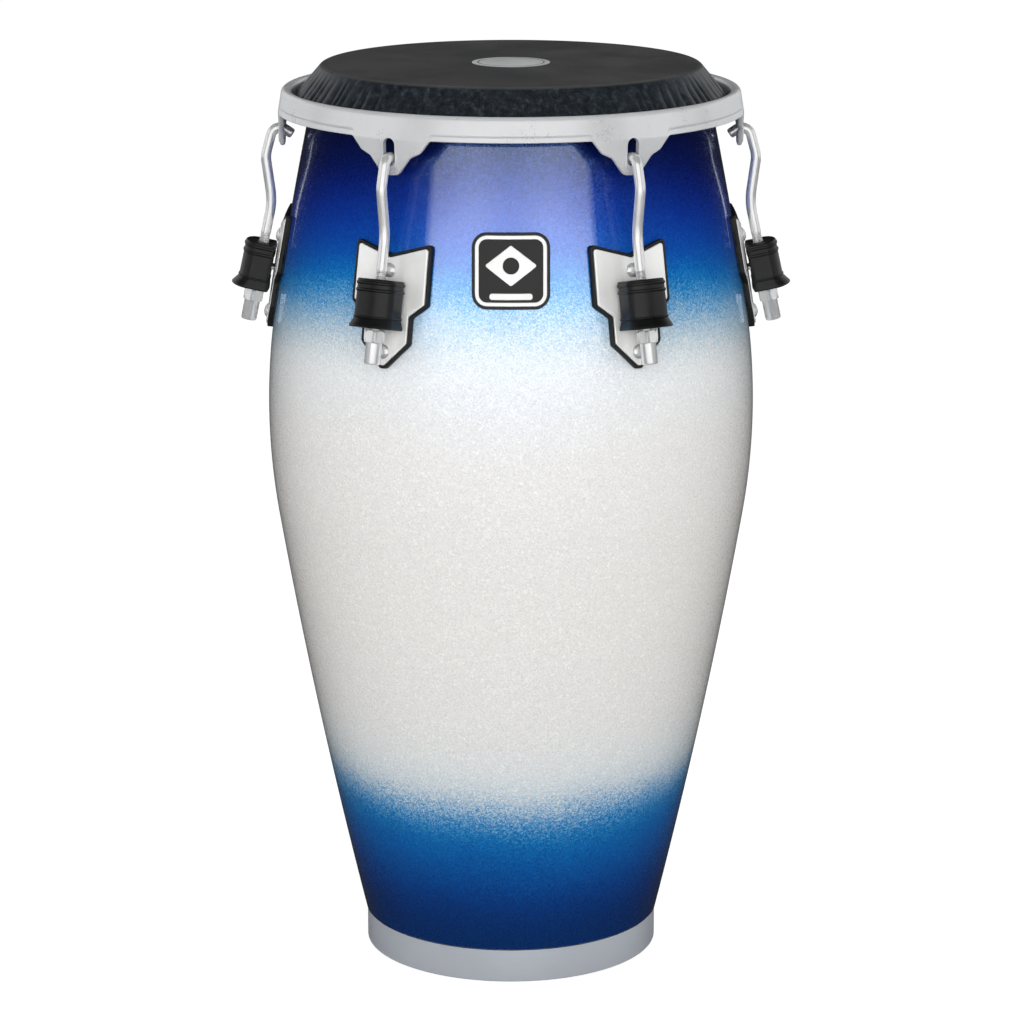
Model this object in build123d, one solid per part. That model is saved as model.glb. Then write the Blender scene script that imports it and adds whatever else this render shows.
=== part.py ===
from build123d import *
from math import asin, atan2, cos, degrees, hypot, radians, sin, sqrt, tan
import os

# A conga drum standing on its base ring. Millimetres, +Z up, drum axis on Z, front towards -Y.
# Every lug is built on the +X side (X outward, Y along the rim) and then turned about Z.

os.makedirs("parts", exist_ok=True)

# ---------------------------------------------------------------- driving dimensions
total_height = 762.0
lug_count = 6

# Shell: a fibreglass tube whose meridian is three tangent arcs
wall = 7.0
foot_radius = 125.7
shoulder_height = 29.3
foot_lean = 13.4
belly_low_angle = -9.35
belly_high_angle = 9.3
lower_bend = 5100.0
belly_bend = 557.0
upper_bend = 3770.0

# Base ring and its rubber edge
ring_radius = 124.8
ring_thickness = 2.5
ring_top = 28.7
ring_bottom = 0.6
ring_low_round = 1.2
ring_top_round = 0.8
rubber_height = 3.0
rubber_round = 0.8
rubber_gap = 0.3
foot_insert_radius = ring_radius - ring_thickness - 0.1

# Head
disc_radius = 32.4
disc_thickness = 0.3
head_top = total_height - disc_thickness
skin = 1.4
collar_high = (160.5, head_top - 4.5)
collar_low = (176.8, head_top - 25.0)
crease_round = 5.0
crease_inner_round = 1.5
bearing_gap = 0.3

# Flesh hoop, inside the rim
hoop_inner = 181.6
hoop_width = 4.8
hoop_top = 731.5
hoop_height = 5.9

# Tension rim
rim_top = 742.0
rim_bottom = 722.0
rim_inner = 182.0
rim_outer_top = 190.0
rim_outer_bottom = 193.4
rim_sheet = 3.0
bead_radius = 2.25
bead_centre = (191.6, rim_bottom + bead_radius)
bead_end_angle = 9.7
rim_inner_round = 3.6
rim_crest_round = 4.2
under_crest_round = 1.0
under_lip_round = 0.7

# Ears of the rim
ear_half_width = 33.5
ear_shoulder = (27.5, 711.0)
ear_waist = (18.0, 707.0)
ear_tip = (7.5, 692.8)
ear_side_round = 6.0
ear_tip_round = 7.0
ear_thickness = 4.0
ear_blank_half_angle = 15
ear_tip_radius_out = 191.7
slot_width = 10.4
slot_top = 723.0
slot_bottom = 700.6
dish_bottom = 695.0
dish_floor_radius = 190.2

# Tension hook: a bent rod, points given as (distance from the drum axis, height)
rod_radius = 4.25
rod_tilt = 12.0
rod_mark = (206.67, 611.74)
rod_end = 66.0
hook_tip = (181.5, 701.8)
hook_crown = (196.7, 712.3)
hook_outer_bend = (204.4, 684.0)
hook_inner_bend_up = 35.0
crown_bend_radius = 8.0
outer_bend_radius = 25.0
inner_bend_radius = 60.0
running_gap = 0.06
hook_tip_round = 1.5
rod_end_chamfer = 0.6
loose_gap = 0.4

# Bushing, measured from its top face down along the rod
bushing_height = 39.0
bushing_inner = -10.5
bushing_depth = 25.5
bushing_half_width = 17.0
bushing_top_chamfer = 0.8
bushing_bow = 0.45
flare_height = 8.0
skirt_height = 1.5
flare_depth = 29.5
flare_half_width = 19.3
rib_out = 0.7
rib_levels = ((3.0, 1.6), (9.0, 1.6), (30.4, 1.2))

# Bracket shelf that carries the bushing
shelf_level = 18.0
shelf_thickness = 3.0
shelf_half_width = 7.5
shelf_reach = 9.0
shelf_root = -13.9
shelf_gap = 0.15

# Tuning nut and its washer
washer_thickness = 1.5
washer_radius = 8.6
hex_across_flats = 16.0
hex_height = 10.0
hex_corner_cut = 0.5
sleeve_radius = 6.5
sleeve_height = 17.0

# Side plate and gasket
gasket_thickness = 3.0
plate_thickness = 2.4
seat_gap = 0.05
plate_border = 2.5
lip_width = 2.2
lip_height = 2.0
gasket_top = 639.0
notch = (0.0, -10.0)
wing_top = (34.7, 0.0)
wing_low = (35.2, -49.0)
waist_high = (22.5, -59.0)
waist_low = (22.5, -80.0)
foot_tip = (2.5, -100.0)
plate_corner = 2.0
layer_half_angle = 14

# Plate screws and what they tighten against
screw_heights = (616.4, 552.4)
screw_radius = 3.0
screw_hole = 3.15
dome_radius = 6.0
dome_height = 3.2
dome_brim = 0.8
backing_thickness = 2.0
backing_half_width = 12.0
backing_length = 92.0
backing_centre = 584.4
inner_washer_thickness = 1.5
inner_washer_radius = 7.0
inner_nut_height = 5.0
inner_nut_flats = 10.0
screw_tail = 2.3
screw_seat_gap = 0.03
washer_gap = 0.2
backing_corner = 6.0

# Badge
badge_centre = 620.0
badge_width = 62.0
badge_height = 60.0
badge_corner = 12.0
badge_backing_thickness = 1.6
badge_face_thickness = 1.6
badge_frame = 3.0
badge_margin = 2.5
lozenge_centre = 4.0
lozenge_half_width = 21.0
lozenge_half_height = 16.0
lozenge_hole = 6.5
badge_bar_width = 34.1
badge_bar_height = 5.0
badge_bar_corner = 2.0
badge_bar_drop = 20.0

# ---------------------------------------------------------------- meridian of the shell


def meridian_arcs():
    """The wall's outer arcs from the foot up, as (centre R, centre Z, radius, end angle)."""
    bends = (
        (lower_bend, belly_low_angle),
        (belly_bend, belly_high_angle),
        (upper_bend, 45.0),
    )
    point = (foot_radius, shoulder_height)
    angle = radians(-foot_lean)
    arcs = []
    for radius, end in bends:
        centre = (point[0] - radius * cos(angle), point[1] - radius * sin(angle))
        angle = radians(end)
        point = (centre[0] + radius * cos(angle), centre[1] + radius * sin(angle))
        arcs.append((centre[0], centre[1], radius, angle))
    return arcs


ARCS = meridian_arcs()


def arc_at(height, offset):
    """The arc of the wall, moved out by offset, that crosses this height."""
    for arc in ARCS:
        if height <= arc[1] + (arc[2] + offset) * sin(arc[3]):
            return arc
    return ARCS[-1]


def wall_point(height, offset=0.0):
    centre_r, centre_z, radius, end = arc_at(height, offset)
    reach = radius + offset
    return (centre_r + sqrt(reach ** 2 - (height - centre_z) ** 2), height)


def wall_angle(height, offset=0.0):
    """Angle in degrees of the wall's outward normal above the horizontal."""
    centre_r, centre_z, radius, end = arc_at(height, offset)
    return degrees(asin((height - centre_z) / (radius + offset)))


def wall_line(low, high, offset):
    """Edges of the wall's meridian between two heights, from low to high."""
    heights = [low]
    for centre_r, centre_z, radius, end in ARCS:
        joint = centre_z + (radius + offset) * sin(end)
        if low < joint < high:
            heights.append(joint)
    heights.append(high)
    edges = []
    for start, stop in zip(heights, heights[1:]):
        middle = (start + stop) / 2
        arc = arc_at(middle, offset)
        reach = arc[2] + offset
        points = [(arc[0] + sqrt(reach ** 2 - (z - arc[1]) ** 2), z) for z in (start, middle, stop)]
        edges.append(ThreePointArc(*points))
    return edges


def wall_section(low, high, inner, outer):
    """Section of a layer that follows the wall between two offsets."""
    outside = wall_line(low, high, outer)
    inside = wall_line(low, high, inner)
    edges = outside + inside
    edges.append(Line(outside[0] @ 0, inside[0] @ 0))
    edges.append(Line(outside[-1] @ 1, inside[-1] @ 1))
    return Plane.XZ * make_face(edges)


# ---------------------------------------------------------------- helpers


def turned(section):
    """Full turn of a section about the drum axis."""
    return revolve(section, axis=Axis.Z, revolution_arc=360)


def sector(section, half_angle):
    """Part turn of a section, centred on +X."""
    return Rot(0, 0, -half_angle) * revolve(section, axis=Axis.Z, revolution_arc=2 * half_angle)


def rounded(face, corners):
    """Round the named corners of a flat face; corners lists (point, radius)."""
    for point, radius in corners:
        nearest = face.vertices().sort_by_distance((point[0], point[1], 0))[0]
        face = fillet(nearest, radius)
    return face


def section_of(points, corners=()):
    """Closed section in the X-Z plane."""
    face = make_face(Polyline(*points, close=True))
    return Plane.XZ * rounded(face, corners)


def sheet_points(points, thickness):
    """Closed outline of a bent sheet that lies to the right of a line of points."""
    normals = []
    for (ax, ay), (bx, by) in zip(points, points[1:]):
        length = hypot(bx - ax, by - ay)
        normals.append(((by - ay) / length, -(bx - ax) / length))
    far = []
    last = len(points) - 1
    for index, (x, y) in enumerate(points):
        before = normals[max(index - 1, 0)]
        after = normals[min(index, last - 1)]
        scale = thickness / (1 + before[0] * after[0] + before[1] * after[1])
        far.append((x + scale * (before[0] + after[0]), y + scale * (before[1] + after[1])))
    return list(points) + far[::-1]


def mirrored(half):
    """Closed outline from its right half, listed from top to bottom."""
    return list(half) + [(-x, y) for x, y in reversed(half) if x > 0]


def outward_prism(face, start=150.0, length=100.0):
    """Prism that carries a (sideways, height) outline outward along +X."""
    return extrude(Plane.YZ.offset(start) * face, amount=length)


def rod_plane(down=0.0):
    """Plane square to the rod, its origin this far below the bushing's top face."""
    tilt = radians(rod_tilt)
    origin = (rod_mark[0] + down * sin(tilt), 0, rod_mark[1] - down * cos(tilt))
    return Plane(origin=origin, x_dir=(cos(tilt), 0, sin(tilt)), z_dir=(-sin(tilt), 0, cos(tilt)))


def wall_plane(height, offset):
    """Plane that lies on the wall, moved out by offset, with its normal pointing outward."""
    reach, level = wall_point(height)
    lift = radians(wall_angle(height))
    origin = (reach + offset * cos(lift), 0, level + offset * sin(lift))
    return Plane(origin=origin, x_dir=(0, 1, 0), z_dir=(cos(lift), 0, sin(lift)))


def at_every_lug(shape):
    """Copies of a piece at the lugs, numbered from the +X side."""
    step = 360 / lug_count
    return [Rot(0, 0, index * step) * shape for index in range(lug_count)]


def save(shape, node):
    shape.label = node
    export_step(shape, "parts/" + node + ".step")


def save_group(shapes, node):
    """Separate solids in one node, for fasteners that are all alike."""
    solids = [solid for shape in shapes for solid in shape.solids()]
    save(Compound(children=solids), node)


def screw_drills(radius):
    """Cylinders along a lug's two screws."""
    drills = [wall_plane(height, 0) * Cylinder(radius, 80) for height in screw_heights]
    return drills[0] + drills[1]


# ---------------------------------------------------------------- shell


collar_slope = atan2(collar_high[1] - collar_low[1], collar_low[0] - collar_high[0])
collar_run = 1 / tan(collar_slope)


def collar_radius(height):
    """Outer face of the head's collar at a height."""
    return collar_high[0] + (collar_high[1] - height) * collar_run


shell_top = head_top - skin - bearing_gap


def make_shell():
    outside = wall_line(shoulder_height, shell_top, 0)
    inside = wall_line(rubber_height, shell_top, -wall)
    foot_outer = (foot_insert_radius, rubber_height)
    foot_corner = (foot_insert_radius, shoulder_height)
    edges = outside + inside
    edges.append(Line(outside[-1] @ 1, inside[-1] @ 1))
    edges.append(Line(inside[0] @ 0, foot_outer))
    edges.append(Line(foot_outer, foot_corner))
    edges.append(Line(foot_corner, outside[0] @ 0))
    shell = turned(Plane.XZ * make_face(edges))
    # Bearing edge: bevelled to lie parallel to the head's collar
    inset = (skin + bearing_gap) / sin(collar_slope)
    low = shell_top - 20
    high = shell_top + 5
    beyond = collar_low[0] + 25
    bevel = [
        (collar_radius(low) - inset, low),
        (collar_radius(high) - inset, high),
        (beyond, high),
        (beyond, low),
    ]
    shell -= turned(section_of(bevel))
    for drill in at_every_lug(screw_drills(screw_hole)):
        shell -= drill
    return shell


def make_base_ring():
    inner = ring_radius - ring_thickness
    points = [(inner, ring_bottom), (ring_radius, ring_bottom), (ring_radius, ring_top), (inner, ring_top)]
    return turned(section_of(points, [(points[1], ring_low_round), (points[2], ring_top_round)]))


def make_rubber_edge():
    inner = wall_point(rubber_height, -wall)[0] + rubber_gap
    points = [(inner, 0), (foot_insert_radius, 0), (foot_insert_radius, rubber_height), (inner, rubber_height)]
    return turned(section_of(points, [(points[0], rubber_round), (points[1], rubber_round)]))


save(make_shell(), "shell")
save(make_base_ring(), "base_ring")
save(make_rubber_edge(), "base_rubber_edge")

# ---------------------------------------------------------------- head, hoop and rim


def make_head():
    crease = (collar_radius(head_top), head_top)
    hoop_join = (hoop_inner, collar_high[1] - (hoop_inner - collar_high[0]) / collar_run)
    hoop_outer = hoop_inner + hoop_width
    hoop_low = hoop_top - hoop_height
    line = [(0, head_top), crease, hoop_join, (hoop_inner, hoop_low), (hoop_outer, hoop_low), (hoop_outer, hoop_top)]
    outline = sheet_points(line, skin)
    inner_crease = outline[len(outline) - 2]
    corners = [(crease, crease_round), (inner_crease, crease_inner_round)]
    return turned(section_of(outline, corners))


def make_flesh_hoop():
    outer = hoop_inner + hoop_width
    low = hoop_top - hoop_height
    points = [(hoop_inner, low), (outer, low), (outer, hoop_top), (hoop_inner, hoop_top)]
    return turned(section_of(points))


def slot_outline(low):
    """Slot with round ends, from low to the slot's top."""
    middle = (low + slot_top) / 2
    return Pos(0, middle) * SlotOverall(slot_top - low, slot_width, rotation=90)


def make_ear():
    half = [(ear_half_width, rim_bottom + 5), (ear_half_width, rim_bottom + 1), ear_shoulder, ear_waist, ear_tip]
    face = make_face(Polyline(*mirrored(half), close=True))
    corners = []
    for side in (1, -1):
        corners.append(((side * ear_shoulder[0], ear_shoulder[1]), ear_side_round))
        corners.append(((side * ear_waist[0], ear_waist[1]), ear_side_round))
        corners.append(((side * ear_tip[0], ear_tip[1]), ear_tip_round))
    flange = [
        (rim_outer_bottom - 2.8, rim_bottom + 4),
        (rim_outer_bottom - 1.0, rim_bottom + 4),
        (rim_outer_bottom - 0.3, rim_bottom - 0.5),
        (ear_tip_radius_out, ear_tip[1] - 1),
        (ear_tip_radius_out - ear_thickness, ear_tip[1] - 1),
        (rim_outer_bottom - 3.5, rim_bottom - 0.5),
    ]
    return sector(section_of(flange), ear_blank_half_angle) & outward_prism(rounded(face, corners))


def make_rim():
    line = [(rim_inner, hoop_top), (rim_inner, rim_top), (rim_outer_top, rim_top), (rim_outer_bottom, rim_bottom)]
    outline = sheet_points(line, rim_sheet)
    corners = [
        (line[1], rim_inner_round),
        (line[2], rim_crest_round),
        (outline[5], under_crest_round),
        (outline[6], under_lip_round),
    ]
    rim = turned(section_of(outline, corners))
    step = 360 / lug_count
    bead_half = step / 2 - bead_end_angle
    bead = sector(Plane.XZ * Pos(*bead_centre) * Circle(bead_radius), bead_half)
    for index in range(lug_count):
        rim += Rot(0, 0, (index + 0.5) * step) * bead
        rim += Rot(0, 0, index * step) * make_ear()
    for slot in at_every_lug(outward_prism(slot_outline(slot_bottom))):
        rim -= slot
    for dish in at_every_lug(outward_prism(slot_outline(dish_bottom), start=dish_floor_radius)):
        rim -= dish
    return rim


save(make_head(), "drum_head")
save(Pos(0, 0, head_top + disc_thickness / 2) * Cylinder(disc_radius, disc_thickness), "head_disc")
save(make_flesh_hoop(), "flesh_hoop")
save(make_rim(), "tension_rim")

# ---------------------------------------------------------------- hooks, bushings, nuts


def bent_line(points, radii):
    """Edges of a line of (R, Z) points with its corners bent to the given radii."""
    edges = []
    start = points[0]
    for before, corner, after, radius in zip(points, points[1:], points[2:], radii):
        back = Vector(before[0] - corner[0], before[1] - corner[1]).normalized()
        ahead = Vector(after[0] - corner[0], after[1] - corner[1]).normalized()
        half = radians(back.get_angle(ahead)) / 2
        tangent = radius / tan(half)
        inward = (back + ahead).normalized()
        vertex = Vector(*corner)
        entry = vertex + back * tangent
        leave = vertex + ahead * tangent
        middle = vertex + inward * (radius / sin(half) - radius)
        edges.append(Line(start, entry))
        edges.append(ThreePointArc(entry, middle, leave))
        start = leave
    edges.append(Line(start, points[-1]))
    return edges


def rod_point(down):
    origin = rod_plane(down).origin
    return (origin.X, origin.Z)


def make_hook():
    points = [hook_tip, hook_crown, hook_outer_bend, rod_point(-hook_inner_bend_up), rod_point(rod_end)]
    radii = (crown_bend_radius, outer_bend_radius, inner_bend_radius)
    path = Plane.XZ * Wire(bent_line(points, radii))
    start = Plane(origin=path @ 0, z_dir=path % 0)
    hook = sweep(start * Circle(rod_radius), path=path)
    ends = hook.edges().filter_by(GeomType.CIRCLE).filter_by(lambda edge: abs(edge.radius - rod_radius) < 0.01)
    hook = fillet(ends.sort_by_distance(path @ 0)[0], hook_tip_round)
    foot_edge = hook.edges().filter_by(GeomType.CIRCLE).sort_by_distance(path @ 1)[0]
    return chamfer(foot_edge, rod_end_chamfer)


def bushing_section(depth, half_width):
    """D-shaped section: flat towards the drum, flat sides, bowed outside."""
    outer = bushing_inner + depth
    shoulder = outer - half_width * bushing_bow
    edges = [
        Line((bushing_inner, -half_width), (bushing_inner, half_width)),
        Line((bushing_inner, half_width), (shoulder, half_width)),
        ThreePointArc((shoulder, half_width), (outer, 0), (shoulder, -half_width)),
        Line((shoulder, -half_width), (bushing_inner, -half_width)),
    ]
    return make_face(edges)


def make_bushing():
    straight = bushing_height - flare_height
    body = extrude(rod_plane(straight) * bushing_section(bushing_depth, bushing_half_width), amount=straight)
    body = chamfer(body.faces().sort_by(Axis.Z)[-1].edges(), bushing_top_chamfer)
    flare_top = rod_plane(straight) * bushing_section(bushing_depth, bushing_half_width)
    flare_low = rod_plane(bushing_height - skirt_height) * bushing_section(flare_depth, flare_half_width)
    body += loft([flare_top, flare_low], ruled=True)
    skirt = rod_plane(bushing_height) * bushing_section(flare_depth, flare_half_width)
    body += extrude(skirt, amount=skirt_height)
    for level, height in rib_levels:
        rib = bushing_section(bushing_depth + rib_out, bushing_half_width + rib_out)
        body += extrude(rod_plane(level + height / 2) * rib, amount=height)
    body -= rod_plane(bushing_height / 2) * Cylinder(rod_radius + running_gap, bushing_height + 4)
    pocket_height = shelf_thickness + 2 * shelf_gap
    pocket_length = shelf_reach + shelf_gap - bushing_inner + 2
    pocket = Box(pocket_length, 2 * (shelf_half_width + shelf_gap), pocket_height)
    middle = shelf_reach + shelf_gap - pocket_length / 2
    body -= rod_plane(shelf_level + shelf_thickness / 2) * Pos(middle, 0, 0) * pocket
    return body


def make_nut():
    top = bushing_height + washer_thickness
    hexagon = RegularPolygon(hex_across_flats / 2, 6, major_radius=False)
    nut = extrude(rod_plane(top + hex_height) * hexagon, amount=hex_height)
    cone = rod_plane(top + hex_height / 2) * Cylinder(hex_across_flats / sqrt(3) - hex_corner_cut, hex_height + 1)
    nut = nut & cone
    sleeve = rod_plane(top + hex_height + sleeve_height) * Circle(sleeve_radius)
    nut += extrude(sleeve, amount=sleeve_height + 0.5)
    nut -= rod_plane(top + 13) * Cylinder(rod_radius + running_gap, 60)
    return nut


def make_washer():
    ring = Circle(washer_radius) - Circle(rod_radius + loose_gap)
    return extrude(rod_plane(bushing_height + washer_thickness) * ring, amount=washer_thickness)


for number, hook in enumerate(at_every_lug(make_hook()), start=1):
    save(hook, "tension_hook_" + str(number))
for number, bushing in enumerate(at_every_lug(make_bushing()), start=1):
    save(bushing, "bushing_" + str(number))
for number, nut in enumerate(at_every_lug(make_nut()), start=1):
    save(nut, "tuning_nut_" + str(number))
save_group(at_every_lug(make_washer()), "nut_washers")

# ---------------------------------------------------------------- side plates


def plate_outline(inset):
    """Notched shield outline of the gasket, drawn in by inset."""
    half = [notch, wing_top, wing_low, waist_high, waist_low, foot_tip]
    points = [(x, gasket_top + y) for x, y in mirrored(half)]
    face = make_face(Polyline(*points, close=True))
    if inset > 0:
        face = offset(face, amount=-inset, kind=Kind.INTERSECTION)
    return fillet(face.vertices(), plate_corner)


def wall_layer(inner, outer, face):
    """A curved layer on the wall, cut to a (sideways, height) outline."""
    section = wall_section(gasket_top + foot_tip[1] - 11, gasket_top + 10, inner, outer)
    return sector(section, layer_half_angle) & outward_prism(face)


plate_inner = gasket_thickness + seat_gap
plate_outer = plate_inner + plate_thickness


def make_gasket():
    gasket = wall_layer(seat_gap, gasket_thickness, plate_outline(0))
    lip = plate_outline(0) - plate_outline(lip_width)
    gasket += wall_layer(seat_gap, gasket_thickness + lip_height, lip)
    return gasket - screw_drills(screw_hole)


def make_side_plate():
    plate = wall_layer(plate_inner, plate_outer, plate_outline(plate_border))
    plate -= screw_drills(screw_hole)
    length = shelf_reach - shelf_root
    shelf = Box(length, 2 * shelf_half_width, shelf_thickness)
    middle = rod_plane(shelf_level + shelf_thickness / 2)
    plate += middle * Pos(shelf_root + length / 2, 0, 0) * shelf
    plate -= middle * Cylinder(rod_radius + loose_gap, 3 * shelf_thickness)
    return plate


def make_screw(height):
    length = plate_outer + wall + backing_thickness + inner_washer_thickness + inner_nut_height + screw_tail
    crown = (0, dome_height)
    brim = (dome_radius, dome_brim)
    rise = dome_height - dome_brim
    bend = (dome_radius ** 2 + rise ** 2) / (2 * rise)
    half_angle = asin(dome_radius / bend) / 2
    shoulder = (bend * sin(half_angle), dome_height - bend * (1 - cos(half_angle)))
    edges = [
        Line(crown, (0, -length)),
        Line((0, -length), (screw_radius, -length)),
        Line((screw_radius, -length), (screw_radius, 0)),
        Line((screw_radius, 0), (dome_radius, 0)),
        Line((dome_radius, 0), brim),
        ThreePointArc(brim, shoulder, crown),
    ]
    screw = revolve(Plane.XZ * make_face(edges), axis=Axis.Z, revolution_arc=360)
    return wall_plane(height, plate_outer + screw_seat_gap) * screw


backing_face = -wall - seat_gap - backing_thickness
washer_face = backing_face - washer_gap
nut_face = washer_face - inner_washer_thickness


def make_backing():
    outline = Pos(0, backing_centre) * RectangleRounded(2 * backing_half_width, backing_length, backing_corner)
    return wall_layer(backing_face, -wall - seat_gap, outline) - screw_drills(screw_hole)


def make_inner_washer(height):
    ring = Circle(inner_washer_radius) - Circle(screw_hole)
    return extrude(wall_plane(height, washer_face - inner_washer_thickness) * ring, amount=inner_washer_thickness)


def make_inner_nut(height):
    outline = RegularPolygon(inner_nut_flats / 2, 6, major_radius=False) - Circle(screw_radius + running_gap)
    return extrude(wall_plane(height, nut_face - inner_nut_height) * outline, amount=inner_nut_height)


for number, gasket in enumerate(at_every_lug(make_gasket()), start=1):
    save(gasket, "plate_gasket_" + str(number))
for number, plate in enumerate(at_every_lug(make_side_plate()), start=1):
    save(plate, "side_plate_" + str(number))

screws = []
inner_washers = []
inner_nuts = []
for height in screw_heights:
    screws += at_every_lug(make_screw(height))
    inner_washers += at_every_lug(make_inner_washer(height))
    inner_nuts += at_every_lug(make_inner_nut(height))
save_group(screws, "plate_screws")
save_group(inner_washers, "screw_washers")
save_group(inner_nuts, "screw_nuts")
save_group(at_every_lug(make_backing()), "backing_plates")

# ---------------------------------------------------------------- badge


def badge_rectangle(inset):
    width = badge_width - 2 * inset
    height = badge_height - 2 * inset
    return RectangleRounded(width, height, badge_corner - inset)


def make_badge(faces, inner, outer):
    """Badge layer on the front of the shell, cut to a flat outline."""
    low = badge_centre - badge_height
    high = badge_centre + badge_height
    layer = sector(wall_section(low, high, inner, outer), layer_half_angle + 1)
    face = Pos(0, badge_centre) * faces
    return Rot(0, 0, -90) * (layer & outward_prism(face))


backing_outer = seat_gap + badge_backing_thickness
face_inner = backing_outer
face_outer = face_inner + badge_face_thickness
badge_inner_margin = badge_margin + badge_frame
frame_face = badge_rectangle(badge_margin) - badge_rectangle(badge_inner_margin)
lozenge_corners = [
    (0, lozenge_centre + lozenge_half_height),
    (lozenge_half_width, lozenge_centre),
    (0, lozenge_centre - lozenge_half_height),
    (-lozenge_half_width, lozenge_centre),
]
lozenge = make_face(Polyline(*lozenge_corners, close=True)) - Pos(0, lozenge_centre) * Circle(lozenge_hole)
bar = Pos(0, -badge_bar_drop) * RectangleRounded(badge_bar_width, badge_bar_height, badge_bar_corner)

save(make_badge(badge_rectangle(0), seat_gap, backing_outer), "badge_backing")
badge_pieces = [make_badge(shape, face_inner, face_outer) for shape in (frame_face, lozenge, bar)]
save_group(badge_pieces, "badge_face")
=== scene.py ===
from math import asin, atan2, cos, hypot, pi, radians, sin, sqrt, tan

import bmesh
import bpy
import numpy as np
from mathutils import Matrix, Vector


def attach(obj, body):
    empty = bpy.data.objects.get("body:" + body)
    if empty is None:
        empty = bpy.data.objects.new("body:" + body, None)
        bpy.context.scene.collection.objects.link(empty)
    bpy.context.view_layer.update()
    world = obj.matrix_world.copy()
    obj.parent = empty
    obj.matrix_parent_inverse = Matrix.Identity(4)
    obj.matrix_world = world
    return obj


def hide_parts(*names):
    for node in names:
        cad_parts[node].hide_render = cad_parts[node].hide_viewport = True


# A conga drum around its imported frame. Shapes are worked out in millimetres and built in metres.
# Lug pieces are shaped on the +X side and turned about Z to each lug.

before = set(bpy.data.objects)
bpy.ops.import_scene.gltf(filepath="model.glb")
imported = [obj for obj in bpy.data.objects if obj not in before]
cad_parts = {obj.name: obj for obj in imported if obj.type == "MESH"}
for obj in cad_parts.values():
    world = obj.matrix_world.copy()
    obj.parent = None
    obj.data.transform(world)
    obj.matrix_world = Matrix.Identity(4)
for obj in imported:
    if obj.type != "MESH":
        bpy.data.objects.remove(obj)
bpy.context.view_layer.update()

MM = 0.001
LUGS = 6

# ------------------------------------------------------------------ dimensions
TOTAL_HEIGHT = 762.0
WALL = 7.0
FOOT_RADIUS = 125.7
SHOULDER = 29.3
RING_RADIUS = 124.8
RING_TOP = 28.7
FOOT_INSERT = 122.2
RUBBER_HEIGHT = 3.0
DISC_RADIUS = 32.4
DISC_THICKNESS = 0.3
HEAD_TOP = TOTAL_HEIGHT - DISC_THICKNESS
SKIN = 1.4
COLLAR_HIGH = (160.5, HEAD_TOP - 4.5)
COLLAR_LOW = (176.8, HEAD_TOP - 25.0)
COLLAR_RUN = (COLLAR_LOW[0] - COLLAR_HIGH[0]) / (COLLAR_HIGH[1] - COLLAR_LOW[1])
HOOP_INNER = 181.6
HOOP_OUTER = 186.4
HOOP_TOP = 731.5
HOOP_LOW = 725.6
RIM_TOP = 742.0
RIM_BOTTOM = 722.0
ROD_RADIUS = 4.25
ROD_TILT = radians(12.0)
ROD_MARK = (206.67, 611.74)
BUSHING_HEIGHT = 39.0
WASHER = 1.5
GASKET = 3.0
LIP_WIDTH = 2.2
LIP_HEIGHT = 2.0
PLATE_OUTER = 5.45
PLATE_TOP = 639.0
SCREW_HEIGHTS = (616.4, 552.4)
BADGE_HEIGHT = 620.0

# The shell's meridian: three tangent arcs, as (radius, angle of the outward normal at its end)
MERIDIAN = ((5100.0, -9.35), (557.0, 9.3), (3770.0, 45.0))
FOOT_LEAN = -13.4


def meridian_arcs():
    point = (FOOT_RADIUS, SHOULDER)
    angle = radians(FOOT_LEAN)
    arcs = []
    for radius, end in MERIDIAN:
        centre = (point[0] - radius * cos(angle), point[1] - radius * sin(angle))
        angle = radians(end)
        point = (centre[0] + radius * cos(angle), centre[1] + radius * sin(angle))
        arcs.append((centre, radius, point[1]))
    return arcs


ARCS = meridian_arcs()


def wall_arc(height):
    for arc in ARCS:
        if height <= arc[2]:
            return arc
    return ARCS[-1]


def wall_radius(height, offset=0.0):
    centre, radius = wall_arc(height)[:2]
    return centre[0] + sqrt((radius + offset) ** 2 - (height - centre[1]) ** 2)


def wall_lift(height):
    """Angle of the wall's outward normal above the horizontal."""
    centre, radius = wall_arc(height)[:2]
    return asin((height - centre[1]) / radius)


# ------------------------------------------------------------------ materials


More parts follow.
